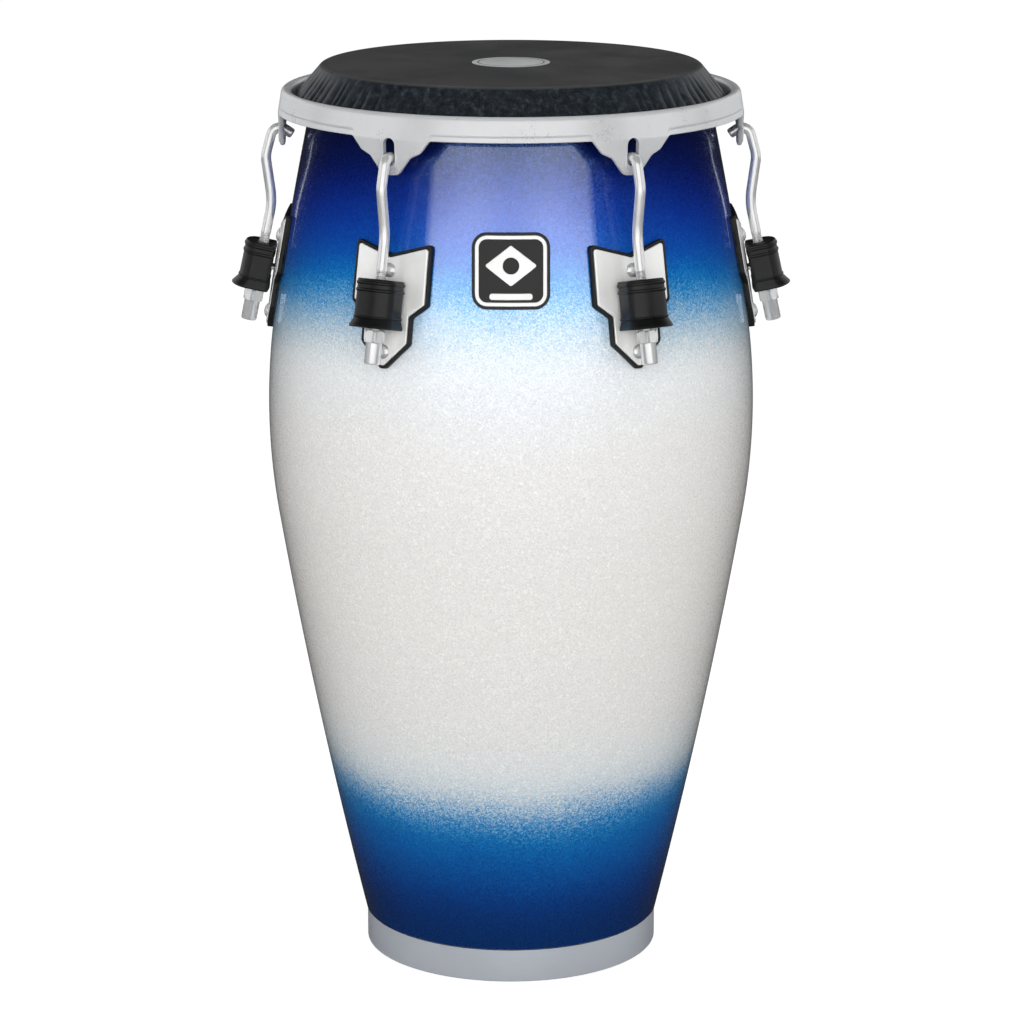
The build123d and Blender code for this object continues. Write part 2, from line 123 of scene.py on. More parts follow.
class NodeTree:
    """A small wrapper that adds and links shader nodes."""

    def __init__(self, tree):
        self.nodes = tree.nodes
        self.links = tree.links

    def put(self, socket, value):
        if isinstance(value, bpy.types.NodeSocket):
            self.links.new(value, socket)
        elif value is not None:
            socket.default_value = value

    def math(self, operation, first, second=None, third=None):
        node = self.nodes.new("ShaderNodeMath")
        node.operation = operation
        for socket, value in zip(node.inputs, (first, second, third)):
            self.put(socket, value)
        return node.outputs[0]

    def vector(self, operation, first, second=None, scale=None):
        node = self.nodes.new("ShaderNodeVectorMath")
        node.operation = operation
        self.put(node.inputs[0], first)
        self.put(node.inputs[1], second)
        if scale is not None:
            self.put(node.inputs["Scale"], scale)
        return node.outputs[0]

    def split(self, vector):
        node = self.nodes.new("ShaderNodeSeparateXYZ")
        self.put(node.inputs[0], vector)
        return node.outputs

    def join(self, x, y, z):
        node = self.nodes.new("ShaderNodeCombineXYZ")
        for socket, value in zip(node.inputs, (x, y, z)):
            self.put(socket, value)
        return node.outputs[0]

    def noise(self, scale, detail=3.0, roughness=0.55, vector=None, distortion=0.0):
        node = self.nodes.new("ShaderNodeTexNoise")
        self.put(node.inputs["Vector"], vector or self.place)
        node.inputs["Scale"].default_value = scale
        node.inputs["Detail"].default_value = detail
        node.inputs["Roughness"].default_value = roughness
        node.inputs["Distortion"].default_value = distortion
        return node.outputs["Fac"]

    def cells(self, scale, vector=None):
        node = self.nodes.new("ShaderNodeTexVoronoi")
        self.put(node.inputs["Vector"], vector or self.place)
        node.inputs["Scale"].default_value = scale
        return node

    def span(self, value, low, high, to_low=0.0, to_high=1.0, smooth=False):
        node = self.nodes.new("ShaderNodeMapRange")
        node.interpolation_type = "SMOOTHSTEP" if smooth else "LINEAR"
        for socket, item in zip(node.inputs, (value, low, high, to_low, to_high)):
            self.put(socket, item)
        return node.outputs[0]

    def ramp(self, value, stops):
        node = self.nodes.new("ShaderNodeValToRGB")
        elements = node.color_ramp.elements
        while len(elements) < len(stops):
            elements.new(0.5)
        for element, (position, colour) in zip(elements, stops):
            element.position = position
            element.color = (*colour, 1.0)
        self.put(node.inputs[0], value)
        return node.outputs[0]

    def mix(self, factor, first, second):
        node = self.nodes.new("ShaderNodeMix")
        node.data_type = "RGBA"
        self.put(node.inputs["Factor"], factor)
        self.put(node.inputs[6], first)
        self.put(node.inputs[7], second)
        return node.outputs[2]

    def bump(self, height, distance, strength):
        node = self.nodes.new("ShaderNodeBump")
        node.inputs["Distance"].default_value = distance
        node.inputs["Strength"].default_value = strength
        self.put(node.inputs["Height"], height)
        return node.outputs[0]


class Shader(NodeTree):
    """Nodes around one material's Principled shader, placed in the piece's own coordinates."""

    def __init__(self, name):
        self.material = bpy.data.materials.new(name)
        self.material.use_nodes = True
        super().__init__(self.material.node_tree)
        self.principled = self.nodes["Principled BSDF"]
        self.place = self.nodes.new("ShaderNodeTexCoord").outputs["Object"]

    def set(self, **values):
        for key, value in values.items():
            self.put(self.principled.inputs[key.replace("_", " ")], value)


def linear(red, green, blue):
    """Linear colour from display values of 0 to 255."""
    out = []
    for value in (red, green, blue):
        value = value / 255
        out.append(value / 12.92 if value <= 0.04045 else ((value + 0.055) / 1.055) ** 2.4)
    return tuple(out)


def flat(colour):
    return (*colour, 1.0)


PAINT_STOPS = (
    (30, (2, 44, 102)),
    (55, (2, 46, 110)),
    (80, (0, 60, 134)),
    (95, (0, 76, 150)),
    (115, (0, 90, 166)),
    (135, (10, 112, 180)),
    (145, (56, 138, 192)),
    (155, (120, 166, 204)),
    (170, (196, 209, 217)),
    (190, (222, 226, 226)),
    (230, (233, 231, 227)),
    (330, (238, 235, 230)),
    (470, (240, 237, 233)),
    (540, (238, 240, 240)),
    (558, (224, 231, 234)),
    (568, (204, 218, 226)),
    (580, (172, 202, 222)),
    (600, (88, 160, 212)),
    (612, (8, 130, 200)),
    (632, (0, 88, 184)),
    (655, (0, 62, 168)),
    (675, (0, 44, 146)),
    (697, (0, 24, 112)),
    (715, (0, 14, 80)),
    (745, (0, 12, 72)),
)
METAL_STOPS = ((100, 0.12), (150, 0.10), (180, 0.04), (540, 0.04), (590, 0.10), (640, 0.16), (720, 0.16))


def make_paint():
    s = Shader("sparkle_fade")
    height = s.split(s.place)[2]
    cloud = s.noise(9.0, 2.0)
    flake = s.cells(1050.0)
    speck = s.cells(620.0)
    grain = s.split(flake.outputs["Color"])
    large = s.split(speck.outputs["Color"])
    drift = s.math("MULTIPLY", s.math("SUBTRACT", cloud, 0.5), 0.018)
    dither = s.math("MULTIPLY", s.math("SUBTRACT", grain[0], 0.5), 0.026)
    level = s.math("ADD", s.math("ADD", height, drift), dither)
    # Painted light: towards the sides, where the surface turns away from view, each fade reaches further, so
    # the middle facing the front light stays paler and the sides bluer, standing in for the flakes lighting
    # up in the middle
    slant = s.nodes.new("ShaderNodeLayerWeight").outputs["Facing"]
    reach = s.math("MULTIPLY", slant, s.span(height, 0.25, 0.55, -0.012, 0.034))
    level = s.math("ADD", level, reach)
    share = s.math("DIVIDE", level, TOTAL_HEIGHT * MM)
    paint = s.ramp(share, [(z / TOTAL_HEIGHT, linear(*colour)) for z, colour in PAINT_STOPS])
    metal = s.ramp(share, [(z / TOTAL_HEIGHT, (v, v, v)) for z, v in METAL_STOPS])
    light = s.span(grain[1], 0.0, 1.0, 0.86, 1.06)
    # Painted glint: a few scattered flakes get their colour raised by up to 15 per cent, standing in for
    # light sparkling off them
    painted_glint = s.span(s.math("POWER", large[2], 9.0), 0.0, 1.0, 1.0, 1.15)
    flake_grain_and_painted_glint = s.math("MULTIPLY", light, painted_glint)
    colour = s.vector("SCALE", paint, scale=flake_grain_and_painted_glint)
    tilt = s.vector("SUBTRACT", flake.outputs["Color"], (0.5, 0.5, 0.5))
    tilt = s.vector("SCALE", tilt, scale=0.13)
    geometry = s.nodes.new("ShaderNodeNewGeometry")
    normal = s.vector("NORMALIZE", s.vector("ADD", geometry.outputs["Normal"], tilt))
    rough = s.span(grain[2], 0.0, 1.0, 0.24, 0.42)
    s.set(Base_Color=colour, Metallic=metal, Roughness=rough, Specular_IOR_Level=0.8, Normal=normal)
    s.set(Specular_Tint=(0.30, 0.55, 1.0, 1.0))
    s.set(Coat_Weight=1.0, Coat_Roughness=0.035, Coat_IOR=1.38)
    return s.material


def make_fibre():
    s = Shader("raw_fibreglass")
    x, y, z = s.split(s.place)
    around = s.math("ARCTAN2", y, x)
    cloth = s.join(s.math("MULTIPLY", around, 0.16), z, 0.0)
    strands = s.cells(160.0, vector=cloth)
    fuzz = s.noise(55.0, 6.0, 0.7, distortion=1.5)
    tone = s.math("ADD", s.math("MULTIPLY", strands.outputs["Distance"], 0.5), s.math("MULTIPLY", fuzz, 0.6))
    colour = s.ramp(tone, [(0.25, (0.075, 0.078, 0.07)), (0.7, (0.22, 0.225, 0.20))])
    s.set(Base_Color=colour, Roughness=s.span(fuzz, 0.2, 0.8, 0.45, 0.75), Normal=s.bump(tone, 0.0006, 0.6))
    return s.material


def make_chrome(name, tone, rough_low, rough_high, wave=0.00002, metal=1.0):
    s = Shader(name)
    cloud = s.noise(38.0, 4.0, 0.6)
    hairs = s.noise(900.0, 2.0, 0.5, distortion=0.6)
    blend = s.math("ADD", s.math("MULTIPLY", cloud, 0.7), s.math("MULTIPLY", hairs, 0.3))
    rough = s.span(blend, 0.3, 0.7, rough_low, rough_high)
    dark = tuple(v * 0.93 for v in tone)
    colour = s.ramp(cloud, [(0.3, dark), (0.7, tone)])
    s.set(Base_Color=colour, Metallic=metal, Roughness=rough)
    if wave:
        s.set(Normal=s.bump(cloud, wave, 0.5))
    return s.material


def make_satin_ring():
    s = Shader("satin_ring")
    x, y, z = s.split(s.place)
    around = s.math("ARCTAN2", y, x)
    lines = s.join(s.math("MULTIPLY", around, 0.9), 0.0, s.math("MULTIPLY", z, 260.0))
    brush = s.noise(9.0, 4.0, 0.65, vector=lines)
    cloud = s.noise(14.0, 3.0)
    tone = s.math("ADD", s.math("MULTIPLY", brush, 0.55), s.math("MULTIPLY", cloud, 0.45))
    colour = s.ramp(tone, [(0.3, (0.46, 0.485, 0.53)), (0.7, (0.54, 0.57, 0.62))])
    s.set(Base_Color=colour, Metallic=0.25, Roughness=s.span(brush, 0.3, 0.7, 0.30, 0.42))
    s.set(Normal=s.bump(brush, 0.00004, 0.35))
    return s.material


def make_rubber(name, dark, light, rough, grain_scale=700.0):
    s = Shader(name)
    grain = s.noise(grain_scale, 3.0, 0.6)
    dust = s.noise(24.0, 5.0, 0.65)
    colour = s.ramp(dust, [(0.35, dark), (0.75, light)])
    s.set(Base_Color=colour, Roughness=s.span(dust, 0.3, 0.75, rough - 0.06, rough + 0.08))
    s.set(Specular_IOR_Level=0.5, Normal=s.bump(grain, 0.00012, 0.35))
    return s.material


def make_head_skin():
    """Dark playing face, and a blue-black speckled collar below the crease."""
    s = Shader("head_skin")
    height = s.split(s.place)[2]
    collar = s.span(height, (HEAD_TOP - 2.2) * MM, (HEAD_TOP - 0.5) * MM, 1.0, 0.0)
    mottle = s.noise(16.0, 6.0, 0.62, distortion=0.4)
    pores = s.noise(520.0, 3.0, 0.6)
    fibre = s.noise(190.0, 5.0, 0.75)
    top = s.ramp(mottle, [(0.3, linear(60, 60, 61)), (0.7, linear(78, 78, 78))])
    blue_black = [
        (0.34, (0.003, 0.0045, 0.006)),
        (0.54, (0.011, 0.016, 0.021)),
        (0.72, (0.042, 0.058, 0.076)),
    ]
    side = s.ramp(fibre, blue_black)
    specks = s.cells(1500.0)
    bright = s.math("POWER", s.split(specks.outputs["Color"])[0], 12.0)
    side = s.mix(s.math("MULTIPLY", bright, 0.4), side, (0.05, 0.07, 0.10, 1.0))
    colour = s.mix(collar, top, side)
    rough = s.span(collar, 0.0, 1.0, 0.62, 0.42)
    relief = s.math("ADD", s.math("MULTIPLY", pores, 0.5), s.math("MULTIPLY", fibre, 0.8))
    s.set(Base_Color=colour, Roughness=rough, Normal=s.bump(relief, 0.00022, 0.55))
    s.set(Specular_IOR_Level=s.span(collar, 0.0, 1.0, 0.12, 0.40))
    return s.material


def make_disc_print():
    s = Shader("disc_print")
    x, y = s.split(s.place)[:2]
    reach = s.math("SQRT", s.math("ADD", s.math("MULTIPLY", x, x), s.math("MULTIPLY", y, y)))
    mottle = s.noise(60.0, 5.0, 0.6)
    tone = s.ramp(mottle, [(0.3, linear(170, 171, 171)), (0.7, linear(190, 191, 191))])
    ring = s.math("COMPARE", reach, (DISC_RADIUS - 5.0) * MM, 0.6 * MM)
    colour = s.mix(ring, tone, flat(linear(84, 85, 86)))
    s.set(Base_Color=colour, Roughness=s.span(mottle, 0.3, 0.7, 0.5, 0.62))
    s.set(Specular_IOR_Level=0.15, Normal=s.bump(mottle, 0.0001, 0.4))
    return s.material


PAINT = make_paint()
FIBRE = make_fibre()
CHROME_RIM = make_chrome("chrome_rim", (0.66, 0.67, 0.68), 0.26, 0.32, 0.0, 0.32)
CHROME = make_chrome("chrome_rods", (0.90, 0.90, 0.90), 0.16, 0.24, 0.0, 0.62)
CHROME_PLATE = make_chrome("chrome_plate", (0.92, 0.92, 0.90), 0.16, 0.26, 0.00002, 0.28)
ZINC = make_chrome("zinc_steel", (0.55, 0.56, 0.56), 0.25, 0.40, 0.00004)
RING = make_satin_ring()
RUBBER = make_rubber("black_rubber", (0.006, 0.006, 0.006), (0.018, 0.017, 0.016), 0.55)
PLASTIC = make_rubber("black_plastic", (0.003, 0.003, 0.0032), (0.008, 0.008, 0.0085), 0.40, 420.0)
BADGE_BLACK = make_rubber("badge_black", (0.002, 0.002, 0.002), (0.006, 0.006, 0.006), 0.14, 300.0)
HEAD = make_head_skin()
DISC = make_disc_print()

# ------------------------------------------------------------------ mesh helpers


def add_piece(name, points, faces, body, materials, replaces=(), turn=0.0, pick=None, sharp=35.0):
    """A mesh object from millimetre points, turned about Z, riding on a body."""
    mesh = bpy.data.meshes.new(name)
    places = np.asarray(points, float) * MM
    mesh.from_pydata(places.tolist(), [], faces)
    if turn:
        mesh.transform(Matrix.Rotation(turn, 4, "Z"))
    return finish_piece(name, mesh, body, materials, replaces, pick, sharp)


def finish_piece(name, mesh, body, materials, replaces=(), pick=None, sharp=35.0):
    work = bmesh.new()
    work.from_mesh(mesh)
    bmesh.ops.recalc_face_normals(work, faces=work.faces)
    work.to_mesh(mesh)
    work.free()
    for material in materials:
        mesh.materials.append(material)
    mesh.polygons.foreach_set("use_smooth", [True] * len(mesh.polygons))
    if pick:
        for polygon in mesh.polygons:
            polygon.material_index = pick(polygon.center / MM)
    mesh.set_sharp_from_angle(angle=radians(sharp))
    piece = bpy.data.objects.new(name, mesh)
    bpy.context.scene.collection.objects.link(piece)
    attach(piece, body)
    if replaces:
        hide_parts(*replaces)
    return piece


def ring_faces(rows, columns, close_rows, close_columns):
    """Quads of a grid of points, row by row, closed round either way."""
    faces = []
    for row in range(rows if close_rows else rows - 1):
        after = (row + 1) % rows
        for column in range(columns if close_columns else columns - 1):
            beside = (column + 1) % columns
            faces.append((
                row * columns + column,
                row * columns + beside,
                after * columns + beside,
                after * columns + column,
            ))
    return faces


def lathe(profile, segments):
    """Points and faces of a closed (R, Z) outline turned about Z."""
    outline = np.asarray(profile, float)
    turns = np.arange(segments) * 2 * pi / segments
    points = np.empty((segments, len(outline), 3))
    points[:, :, 0] = outline[None, :, 0] * np.cos(turns)[:, None]
    points[:, :, 1] = outline[None, :, 0] * np.sin(turns)[:, None]
    points[:, :, 2] = outline[None, :, 1]
    return points.reshape(-1, 3), ring_faces(segments, len(outline), True, True)


def rounded_outline(corners, steps=6):
    """A closed outline from (x, y, radius) corners, with each corner rounded."""
    out = []
    count = len(corners)
    for index in range(count):
        x, y, radius = corners[index]
        corner = Vector((x, y))
        if radius <= 0:
            out.append((x, y))
            continue
        back = (Vector(corners[index - 1][:2]) - corner).normalized()
        ahead = (Vector(corners[(index + 1) % count][:2]) - corner).normalized()
        half = back.angle(ahead) / 2
        centre = corner + (back + ahead).normalized() * (radius / sin(half))
        start = corner + back * (radius / tan(half)) - centre
        sweep = start.angle_signed(corner + ahead * (radius / tan(half)) - centre)
        for step in range(steps + 1):
            angle = -sweep * step / steps
            turned = Vector((
                start.x * cos(angle) - start.y * sin(angle),
                start.x * sin(angle) + start.y * cos(angle),
            ))
            out.append((centre.x + turned.x, centre.y + turned.y))
    return out


def lug_turns():
    return [(index + 1, index * 2 * pi / LUGS) for index in range(LUGS)]


def merge(parts):
    """Several (points, faces) as one."""
    points = []
    faces = []
    for some, quads in parts:
        base = len(points)
        points.extend(list(map(tuple, some)))
        faces.extend([tuple(base + i for i in quad) for quad in quads])
    return points, faces


def rod_place(side, around, down):
    """Place of a point given in the rod's own frame: outward, sideways, and down from the bushing's top."""
    return (
        ROD_MARK[0] + side * cos(ROD_TILT) + down * sin(ROD_TILT),
        around,
        ROD_MARK[1] + side * sin(ROD_TILT) - down * cos(ROD_TILT),
    )


# ------------------------------------------------------------------ shell, base ring, rubber edge


def collar_radius(height):
    return COLLAR_HIGH[0] + (COLLAR_HIGH[1] - height) * COLLAR_RUN


def shell_profile():
    slope = atan2(1.0, COLLAR_RUN)
    inset = (SKIN + 0.3) / sin(slope)
    top = HEAD_TOP - SKIN - 0.3
    bevel_start = top
    while wall_radius(bevel_start) > collar_radius(bevel_start) - inset:
        bevel_start -= 0.1
    outer = [(wall_radius(z), z) for z in np.linspace(SHOULDER + 0.5, bevel_start, 120)]
    inner = [(wall_radius(z, -WALL), z) for z in np.linspace(top - 0.6, RUBBER_HEIGHT + 0.4, 90)]
    edge = [(collar_radius(top - 0.5) - inset, top - 0.5), (collar_radius(top) - inset - 0.5, top)]
    rim = [(wall_radius(top, -WALL) + 0.7, top)]
    foot = [(FOOT_INSERT, RUBBER_HEIGHT), (FOOT_INSERT, SHOULDER), (wall_radius(SHOULDER) - 0.5, SHOULDER)]
    return outer + edge + rim + inner + [(wall_radius(RUBBER_HEIGHT, -WALL), RUBBER_HEIGHT)] + foot


def shell_side(centre):
    reach = hypot(centre.x, centre.y)
    return 1 if reach < wall_radius(centre.z) - WALL / 2 or centre.z < SHOULDER - 1 else 0


points, faces = lathe(shell_profile(), 288)
shell_piece = add_piece("shell_body", points, faces, "shell", [PAINT, FIBRE], ["shell"],
                        pick=shell_side)

ring_outline = rounded_outline([
    (122.3, 0.6, 0.3), (RING_RADIUS, 0.6, 1.4), (RING_RADIUS, RING_TOP, 0.8), (122.3, RING_TOP, 0.3),
])
points, faces = lathe(ring_outline, 288)
add_piece("base_band", points, faces, "shell", [RING], ["base_ring"])

rubber_inner = wall_radius(RUBBER_HEIGHT, -WALL) + 0.3
rubber_outline = rounded_outline([
    (rubber_inner, 0, 0.9), (FOOT_INSERT, 0, 0.9),
    (FOOT_INSERT, RUBBER_HEIGHT, 0.2), (rubber_inner, RUBBER_HEIGHT, 0.2),
])
points, faces = lathe(rubber_outline, 192)
add_piece("rubber_edge", points, faces, "shell", [RUBBER], ["base_rubber_edge"])

# A thin dark bead at the joint between the band and the shell is painted shade: a dark piece standing in for
# the shadow in the gap there
shadow_gap_corners = [(121.5, 28.0, 0.2), (124.5, 28.5, 0.3), (124.9, 29.1, 0.3), (121.5, 29.6, 0.2)]
shadow_gap_outline = rounded_outline(shadow_gap_corners)
points, faces = lathe(shadow_gap_outline, 192)
add_piece("band_shadow_gap", points, faces, "shell", [RUBBER])

# ------------------------------------------------------------------ head

PLEATS = 90


def pleat_table(columns):
    """Depth of the gathered skin round the collar, from folds of uneven width and depth."""
    rng = np.random.RandomState(11)
    edges = np.cumsum(rng.uniform(0.55, 1.45, PLEATS))
    edges = np.concatenate([[0.0], edges]) / edges[-1]
    depth = rng.uniform(0.45, 1.0, PLEATS)
    share = np.arange(columns) / columns
    which = np.clip(np.searchsorted(edges, share, side="right") - 1, 0, PLEATS - 1)
    local = (share - edges[which]) / (edges[which + 1] - edges[which])
    fold = np.sin(pi * local) ** 0.6 * depth[which]
    return fold


def make_head_mesh():
    columns = 1584
    fold = pleat_table(columns)
    crease_x = collar_radius(HEAD_TOP)
    low_z = COLLAR_HIGH[1] - (HOOP_INNER - COLLAR_HIGH[0]) / COLLAR_RUN
    outer = [(r, HEAD_TOP) for r in (0.02, 20, 40, 60, 80, 100, 120, 135, 145, 151)]
    corners = [(0, HEAD_TOP, 0), (crease_x, HEAD_TOP, 7.0), (HOOP_INNER, low_z, 0), (0, low_z, 0)]
    bend = rounded_outline(corners, 10)
    outer += bend[1:12]
    start = outer[-1]
    for share in np.linspace(0, 1, 16)[1:]:
        outer.append((
            start[0] + (HOOP_INNER - 0.3 - start[0]) * share,
            start[1] + (low_z - start[1]) * share,
        ))
    outer += [(HOOP_INNER - 0.1, HOOP_LOW - 0.1), (HOOP_OUTER, HOOP_LOW - 0.1), (HOOP_OUTER + 0.1, HOOP_TOP)]
    far = [
        (HOOP_OUTER + SKIN, HOOP_TOP),
        (HOOP_OUTER + SKIN, HOOP_LOW - SKIN),
        (HOOP_INNER - SKIN, HOOP_LOW - SKIN),
    ]
    slope = atan2(1.0, COLLAR_RUN)
    under = [
        (HOOP_INNER - SKIN, low_z - 0.8),
        (crease_x - SKIN * tan((pi / 2 - slope) / 2) - 0.6, HEAD_TOP - SKIN),
    ]
    inner = [(100.0, HEAD_TOP - SKIN), (0.02, HEAD_TOP - SKIN)]
    profile = outer + far + under + inner
    points, faces = lathe(profile, columns)
    grid = points.reshape(columns, len(profile), 3)
    rng = np.random.RandomState(5)
    lean = np.interp(np.arange(columns), np.linspace(0, columns, 60), rng.uniform(-5, 5, 60)).astype(int)
    for index, (r, z) in enumerate(profile[:len(outer) - 3]):
        if r < 158 or z < low_z + 0.5:
            continue
        share = min(1.0, (HEAD_TOP - 3.0 - z) / 12.0)
        if share <= 0:
            continue
        shift = (lean * (z - 745.0) / 15.0).astype(int)
        here = fold[(np.arange(columns) + shift) % columns]
        push = share * (2.3 * here - 1.35)
        factor = 1 + push * sin(slope) / r
        grid[:, index, 0] *= factor
        grid[:, index, 1] *= factor
        grid[:, index, 2] += push * cos(slope) * 0.6
    return points, faces


points, faces = make_head_mesh()
add_piece("head_skin", points, faces, "rim", [HEAD], ["drum_head"], sharp=60.0)

disc_outline = rounded_outline([
    (0.02, HEAD_TOP - 0.05, 0), (DISC_RADIUS, HEAD_TOP - 0.05, 0.05),
    (DISC_RADIUS, HEAD_TOP + 0.25, 0.15), (0.02, HEAD_TOP + 0.25, 0),
], 3)
points, faces = lathe(disc_outline, 128)
add_piece("centre_disc", points, faces, "rim", [DISC], ["head_disc"])

# ------------------------------------------------------------------ rim with ears

EAR_LINE = ((33.5, 723.5, 2.5), (27.0, 711.5, 6.0), (18.0, 707.3, 7.0), (7.2, 693.2, 7.5))
SLOT_WIDTH = 10.4
SLOT_TOP = 723.0
SLOT_LOW = 700.6
EAR_REACH = 190.5


def ear_edge():
    """Lower edge of one ear as heights against sideways distance, half of it."""
    corners = [(60.0, RIM_BOTTOM, 0), (35.5, RIM_BOTTOM, 3.0)] + list(EAR_LINE)[1:] + [(0.0, 692.8, 0)]
    line = rounded_outline([(60.0, 760.0, 0)] + corners + [(0.0, 760.0, 0)], 8)
    kept = [(x, z) for x, z in line if z < 759]
    kept.sort()
    return np.array(kept)


EDGE = ear_edge()


def rim_lower_edge(angle):
    """Height of the rim's lower edge, and how much of its rolled bead shows, at an angle."""
    step = 2 * pi / LUGS
    away = abs((angle + step / 2) % step - step / 2)
    sideways = away * EAR_REACH
    height = float(np.interp(sideways, EDGE[:, 0], EDGE[:, 1]))
    bead = min(1.0, max(0.0, (sideways - 33.0) / 3.0))
    return height, bead


def rim_outer(z):
    if z >= RIM_BOTTOM:
        return 193.4 - (z - RIM_BOTTOM) * 0.17
    return 193.4 - (RIM_BOTTOM - z) * 0.055


def rim_profile(low, bead):
    """Closed outline of the pressed rim: lip, crest, outer wall, rolled lower edge, channel."""
    line = []
    for angle in np.linspace(180, 90, 9):
        line.append((186.2 + 4.2 * cos(radians(angle)), RIM_TOP - 4.2 + 4.2 * sin(radians(angle))))
    for angle in np.linspace(78, 8, 8):
        line.append((186.4 + 4.3 * cos(radians(angle)), RIM_TOP - 4.3 + 4.3 * sin(radians(angle))))
    bulge = 0.45 * bead
    for share in np.linspace(0.06, 1.0, 24):
        z = RIM_TOP - 6.5 + (low + 1.2 - RIM_TOP + 6.5) * share
        above = z - low
        swell = bulge * min(1.0, max(0.0, (4.9 - above) / 0.7))
        groove = -0.35 * bead * max(0.0, 1 - abs(above - 5.3) / 0.7)
        line.append((rim_outer(z) + swell + groove - 0.05, z))
    thick = 3.2 + 0.8 * (1 - bead)
    base = rim_outer(low) + bulge
    for angle in (-25, -55, -90, -125, -155):
        line.append((
            base - thick / 2 + thick / 2 * cos(radians(angle)),
            low + 1.3 + 1.3 * sin(radians(angle)),
        ))
    line.append((base - thick, low + 1.5))
    line.append((rim_outer(RIM_BOTTOM + 4) - 3.3, RIM_BOTTOM + 4))
    line.append((187.6, RIM_TOP - 4.4))
    line.append((186.9, RIM_TOP - 3.6))
    line.append((185.4, RIM_TOP - 3.6))
    line.append((184.9, RIM_TOP - 4.2))
    line.append((184.9, HOOP_TOP + 0.5))
    line.append((184.4, HOOP_TOP))
    line.append((182.6, HOOP_TOP))
    line.append((182.0, HOOP_TOP + 0.6))
    return line


def make_rim_mesh():
    columns = 1440
    points = []
    for column in range(columns):
        angle = column * 2 * pi / columns
        low, bead = rim_lower_edge(angle)
        profile = rim_profile(low, bead)
        for r, z in profile:
            points.append((r * cos(angle), r * sin(angle), z))
    return points, ring_faces(columns, len(profile), True, True)


def slot_cutter(turn):
    """A slot-shaped block that passes through an ear."""
    half = SLOT_WIDTH / 2
    outline = []
    for angle in np.linspace(0, 180, 13):
        outline.append((half * cos(radians(angle)), SLOT_TOP - half + half * sin(radians(angle))))
    for angle in np.linspace(180, 360, 13):
        outline.append((half * cos(radians(angle)), SLOT_LOW + half + half * sin(radians(angle))))
    count = len(outline)
    points = [(170.0, y, z) for y, z in outline] + [(215.0, y, z) for y, z in outline]
    faces = [tuple(range(count)), tuple(range(2 * count - 1, count - 1, -1))]
    for index in range(count):
        after = (index + 1) % count
        faces.append((index, after, count + after, count + index))
    mesh = bpy.data.meshes.new("cutter")
    mesh.from_pydata((np.array(points) * MM).tolist(), [], faces)
    mesh.transform(Matrix.Rotation(turn, 4, "Z"))
    return mesh


def apply_modifiers(piece):
    graph = bpy.context.evaluated_depsgraph_get()
    mesh = bpy.data.meshes.new_from_object(piece.evaluated_get(graph))
    piece.modifiers.clear()
    old = piece.data
    piece.data = mesh
    bpy.data.meshes.remove(old)


def make_rim():
    points, faces = make_rim_mesh()
    piece = add_piece("counter_hoop", points, faces, "rim", [CHROME_RIM], ["tension_rim"],
                      sharp=50.0)
    cutters = bpy.data.meshes.new("cutters")
    work = bmesh.new()
    for number, turn in lug_turns():
        work.from_mesh(slot_cutter(turn))
    bmesh.ops.recalc_face_normals(work, faces=work.faces)
    work.to_mesh(cutters)
    work.free()
    cutters.materials.append(CHROME_RIM)
    tool = bpy.data.objects.new("cutters", cutters)
    bpy.context.scene.collection.objects.link(tool)
    cut = piece.modifiers.new("slots", "BOOLEAN")
    cut.operation = "DIFFERENCE"
    cut.solver = "EXACT"
    cut.object = tool
    bpy.context.view_layer.update()
    apply_modifiers(piece)
    bpy.data.objects.remove(tool)
    piece.data.set_sharp_from_angle(angle=radians(50))
    return piece


make_rim()


def tube(path, radius, sides):
    """Points and faces of a round tube along a path in the X-Z plane or in space."""
    path = [Vector(p) for p in path]
    radii = radius if isinstance(radius, (list, tuple, np.ndarray)) else [radius] * len(path)
    points = []
    side = None
    for index, here in enumerate(path):
        before = path[max(index - 1, 0)]
        after = path[min(index + 1, len(path) - 1)]
        ahead = (after - before).normalized()
        if side is None:
            side = ahead.orthogonal().normalized()
        side = (side - ahead * side.dot(ahead)).normalized()
        other = ahead.cross(side)
        for step in range(sides):
            angle = 2 * pi * step / sides
            points.append(tuple(here + (side * cos(angle) + other * sin(angle)) * radii[index]))
    faces = ring_faces(len(path), sides, False, True)
    faces.append(tuple(range(sides)))
    faces.append(tuple(range(len(points) - 1, len(points) - sides - 1, -1)))
    return points, faces


def slot_lip():
    """Rolled lip round the lower half of a slot, on the ear's outer face."""
    half = SLOT_WIDTH / 2 + 0.9
    path = []
    for y_sign, z in ((1, 712.0), (1, 709.0), (1, 706.0)):
        path.append((y_sign * (half - (z - 706.0) * 0.05), z))
    for angle in np.linspace(0, -180, 15):
        path.append((half * cos(radians(angle)), 701.2 + 5.4 * sin(radians(angle))))
    path += [(-half, 706.0), (-half + 0.15, 709.0), (-half + 0.3, 712.0)]
    places = [(rim_outer(z) - y * y / 380 - 0.1, y, z) for y, z in path]
    sizes = [0.15, 0.5, 0.85] + [1.0] * 15 + [0.85, 0.5, 0.15]
    return tube(places, sizes, 10)


for number, turn in lug_turns():
    points, faces = slot_lip()
    add_piece("slot_lip_%d" % number, points, faces, "rim", [CHROME_RIM], turn=turn)

# ------------------------------------------------------------------ hooks


